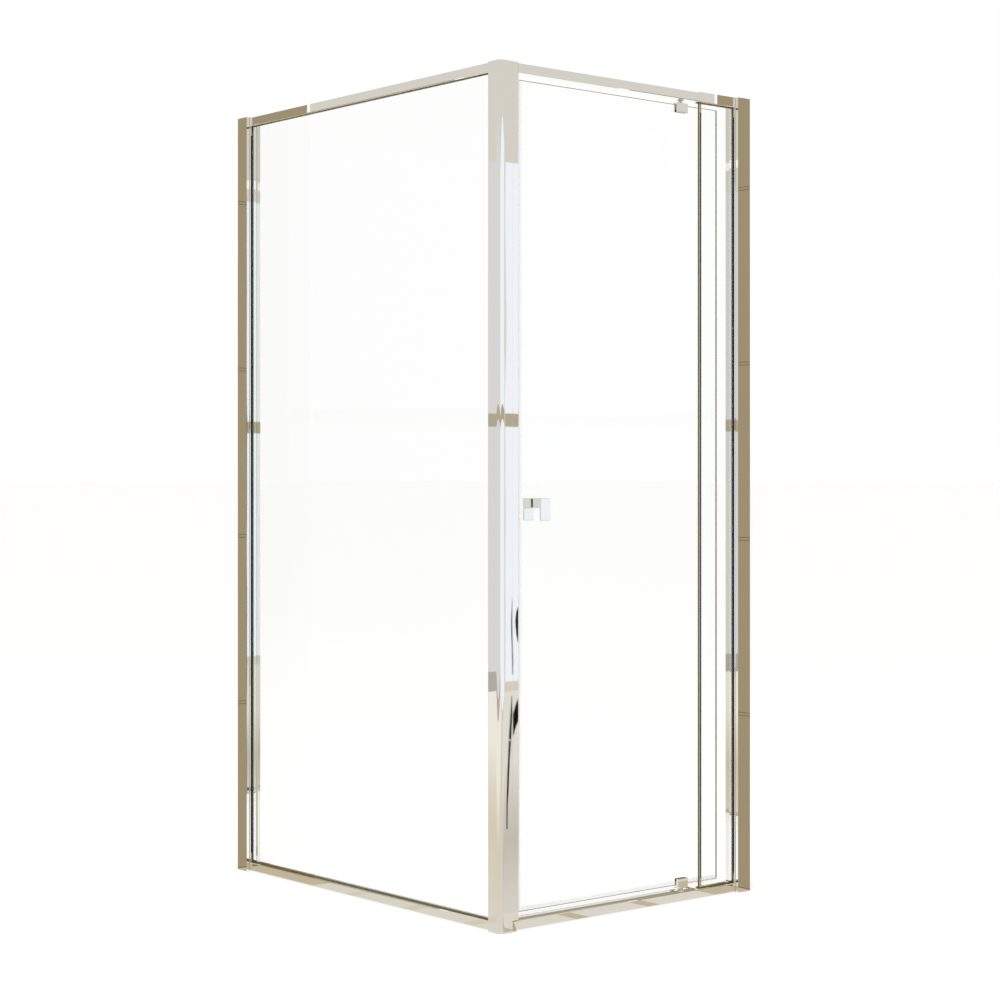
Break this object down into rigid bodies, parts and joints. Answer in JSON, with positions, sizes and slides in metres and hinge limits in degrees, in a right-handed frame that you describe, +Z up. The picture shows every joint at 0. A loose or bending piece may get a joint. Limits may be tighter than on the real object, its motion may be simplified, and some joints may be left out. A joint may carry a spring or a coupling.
{
  "type": "shower screen",
  "caption": "Corner shower screen of clear glass in a chrome frame: a fixed side panel, a corner post, and a front with a pivot door and a narrow fixed inline panel.",
  "frame": {"origin": "centre of the corner post's foot, on the surface that the screen stands on", "axes": "+Z up, +X from the corner post along the front with the door to its wall, +Y from the corner post along the side panel to its wall"},
  "size_m": [0.766, 1.013, 1.85],
  "materials": {
    "chrome": "polished",
    "screw_steel": "satin",
    "clear_glass": "clear",
    "black_rubber": "matte",
    "clear_seal": "clear",
    "bush_plastic": "satin",
    "grey_plastic": "matte",
    "cast_aluminium": "as cast"
  },
  "bodies": {
    "frame": {"corner_post": "chrome", "post_top_cap": "chrome", "side_wall_channel": "chrome", "front_wall_channel": "chrome", "side_jamb": "chrome", "inline_jamb": "chrome", "side_top_rail": "chrome", "side_bottom_rail": "chrome", "strike_jamb": "chrome", "door_header": "chrome", "door_sill": "chrome", "sill_end_shoe": "chrome", "inline_top_rail": "chrome", "inline_bottom_rail": "chrome", "side_screw_covers": "chrome", "front_screw_covers": "chrome", "side_fixing_screws": "screw_steel", "front_fixing_screws": "screw_steel", "rail_screws": "screw_steel", "strike_jamb_screws": "screw_steel", "header_connector_screws": "screw_steel", "side_glass": "clear_glass", "inline_glass": "clear_glass", "side_outer_gasket": "black_rubber", "inline_outer_gasket": "black_rubber", "strike_foot_pad": "black_rubber", "setting_blocks": "black_rubber", "inline_edge_seal": "black_rubber", "strike_seal": "black_rubber", "side_inner_gasket": "clear_seal", "inline_inner_gasket": "clear_seal", "header_pivot_bush": "bush_plastic", "sill_pivot_bush": "bush_plastic", "post_foot_cap": "grey_plastic", "jamb_plugs": "grey_plastic", "channel_plugs": "grey_plastic", "strike_jamb_plug": "grey_plastic", "rail_connectors": "cast_aluminium", "header_connector": "cast_aluminium", "header_joiner": "cast_aluminium", "sill_joiner": "cast_aluminium", "header_pivot_carrier": "cast_aluminium", "sill_pivot_carrier": "cast_aluminium"},
    "door": {"door_glass": "clear_glass", "top_clamp_outer": "chrome", "top_clamp_inner": "chrome", "top_pivot_pin": "screw_steel", "bottom_clamp_outer": "chrome", "bottom_clamp_inner": "chrome", "bottom_pivot_pin": "screw_steel", "clamp_screws": "screw_steel", "clamp_gaskets": "black_rubber", "handle_outer": "chrome", "handle_inner": "chrome", "handle_bolt": "screw_steel", "handle_washers": "clear_seal", "door_edge_seal": "clear_seal", "door_drip_seal": "clear_seal"}
  },
  "joints": [
    {"name": "door_pivot", "type": "hinge", "parent": "frame", "child": "door", "pos_m": [0.536, -0.002, 0.925], "axis": [0, 0, 1], "range_deg": [0, 90]}
  ]
}
